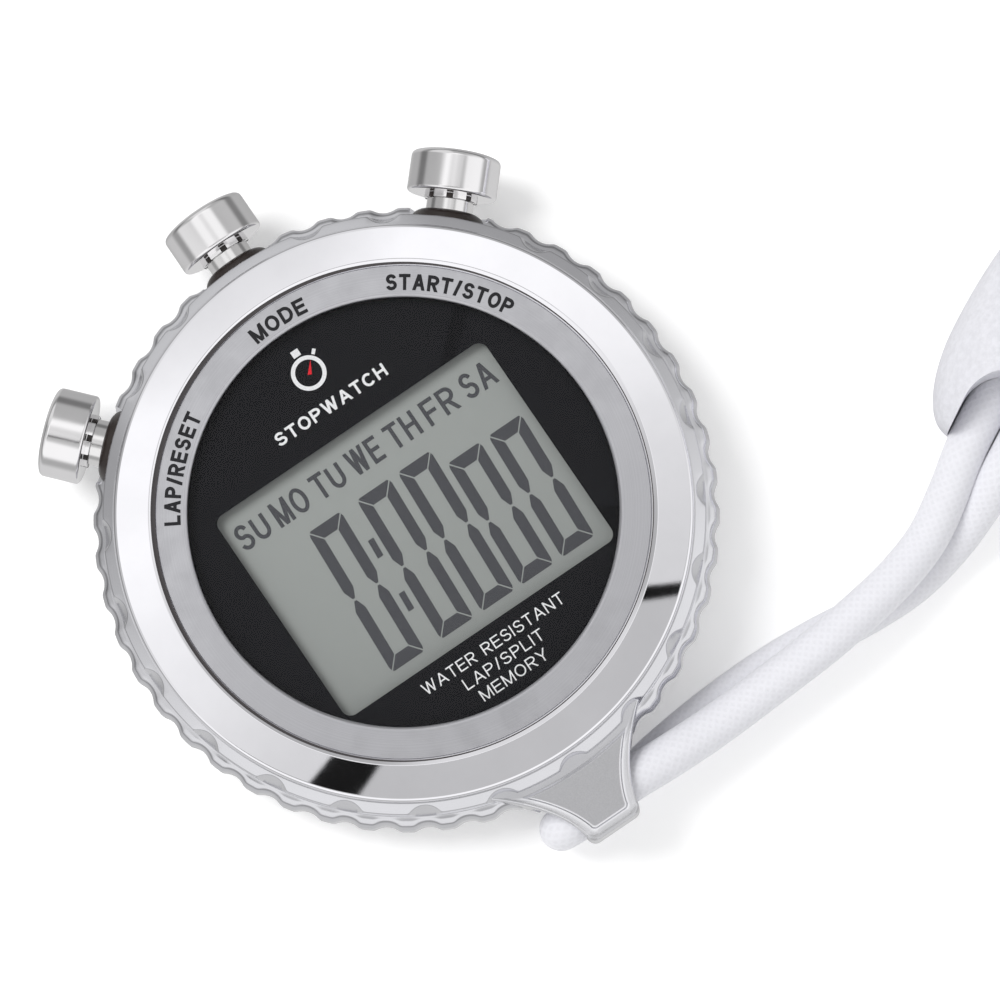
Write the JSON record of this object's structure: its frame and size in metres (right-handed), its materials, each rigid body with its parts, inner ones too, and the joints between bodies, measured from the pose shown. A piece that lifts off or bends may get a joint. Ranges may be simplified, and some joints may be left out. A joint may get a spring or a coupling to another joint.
{
  "type": "digital stopwatch",
  "caption": "Hand-held digital stopwatch: round rope-edged metal case, display under glass, sprung pushers on the rim, lug with a braided neck lanyard and slider bead.",
  "frame": {"origin": "centre of the flat case back, on the surface that the watch lies on", "axes": "+Z out through the dial, +Y to the 12 o'clock pusher, +X to 3 o'clock"},
  "size_m": [0.1813, 0.0816, 0.0187],
  "materials": {
    "case_metal": "satin chrome plate on die-cast zinc, with a soft sheen",
    "bezel_chrome": "polished chrome plate",
    "cap_chrome": "polished chrome plate, slightly warm",
    "stem_steel": "polished turned steel",
    "ring_satin": "satin, with a fine circular grain and printed labels",
    "crystal_glass": "clear flat glass",
    "mask_black": "matt black printed foil",
    "lcd_glass": "grey-green display with a faint silver reflector",
    "lcd_reflector": "satin reflector foil",
    "rubber_black": "matt",
    "elastomer_strip": "layered conductive and plain rubber",
    "plastic_white": "moulded, fine matt",
    "board_green": "solder mask",
    "chip_black": "epoxy, satin",
    "part_ceramic": "ceramic with tinned ends",
    "battery_steel": "stamped stainless steel",
    "screw_steel": "turned steel",
    "spring_steel": "drawn wire",
    "tube_brass": "turned brass",
    "contact_gold": "gold-plated spring bronze",
    "back_steel": "circular brushed steel",
    "cord_white": "braided, soft white",
    "bead_white": "moulded, satin gloss"
  },
  "bodies": {
    "watch": {"case_middle": "case_metal", "bezel": "bezel_chrome", "label_ring": "ring_satin", "crystal": "crystal_glass", "crystal_gasket": "rubber_black", "dial_mask": "mask_black", "case_back": "back_steel", "back_gasket": "rubber_black", "back_screws": "screw_steel", "lcd_panel": "lcd_glass", "lcd_reflector": "lcd_reflector", "zebra_strips": "elastomer_strip", "lcd_frame": "plastic_white", "circuit_board": "board_green", "chip_cover": "chip_black", "quartz_crystal": "screw_steel", "chip_parts": "part_ceramic", "battery_frame": "plastic_white", "battery": "battery_steel", "battery_strap": "spring_steel", "battery_contact": "contact_gold", "module_screws": "screw_steel", "buzzer_disc": "tube_brass", "buzzer_springs": "spring_steel", "contact_start": "contact_gold", "contact_mode": "contact_gold", "contact_lap": "contact_gold", "spring_start": "spring_steel", "spring_mode": "spring_steel", "spring_lap": "spring_steel", "tube_start": "tube_brass", "tube_mode": "tube_brass", "tube_lap": "tube_brass", "washer_start": "rubber_black", "washer_mode": "rubber_black", "washer_lap": "rubber_black", "lanyard_strand_a": "cord_white", "lanyard_strand_b": "cord_white", "lanyard_coil": "cord_white", "lanyard_bead": "bead_white"},
    "start_pusher": {"cap_start": "cap_chrome", "stem_start": "stem_steel", "oring_start": "rubber_black", "clip_start": "screw_steel"},
    "mode_pusher": {"cap_mode": "cap_chrome", "stem_mode": "stem_steel", "oring_mode": "rubber_black", "clip_mode": "screw_steel"},
    "lap_pusher": {"cap_lap": "cap_chrome", "stem_lap": "stem_steel", "oring_lap": "rubber_black", "clip_lap": "screw_steel"}
  },
  "joints": [
    {"name": "start_press", "type": "slide", "parent": "watch", "child": "start_pusher", "axis": [-0.6691, -0.7431, 0], "range_m": [0, 0.0008], "stiffness_N_per_m": 1200, "springref_m": -0.0012, "deforming": ["spring_start", "contact_start"]},
    {"name": "mode_press", "type": "slide", "parent": "watch", "child": "mode_pusher", "axis": [0, -1, 0], "range_m": [0, 0.0008], "stiffness_N_per_m": 1200, "springref_m": -0.0012, "deforming": ["spring_mode", "contact_mode"]},
    {"name": "lap_press", "type": "slide", "parent": "watch", "child": "lap_pusher", "axis": [0.6691, -0.7431, 0], "range_m": [0, 0.0008], "stiffness_N_per_m": 1200, "springref_m": -0.0012, "deforming": ["spring_lap", "contact_lap"]}
  ]
}
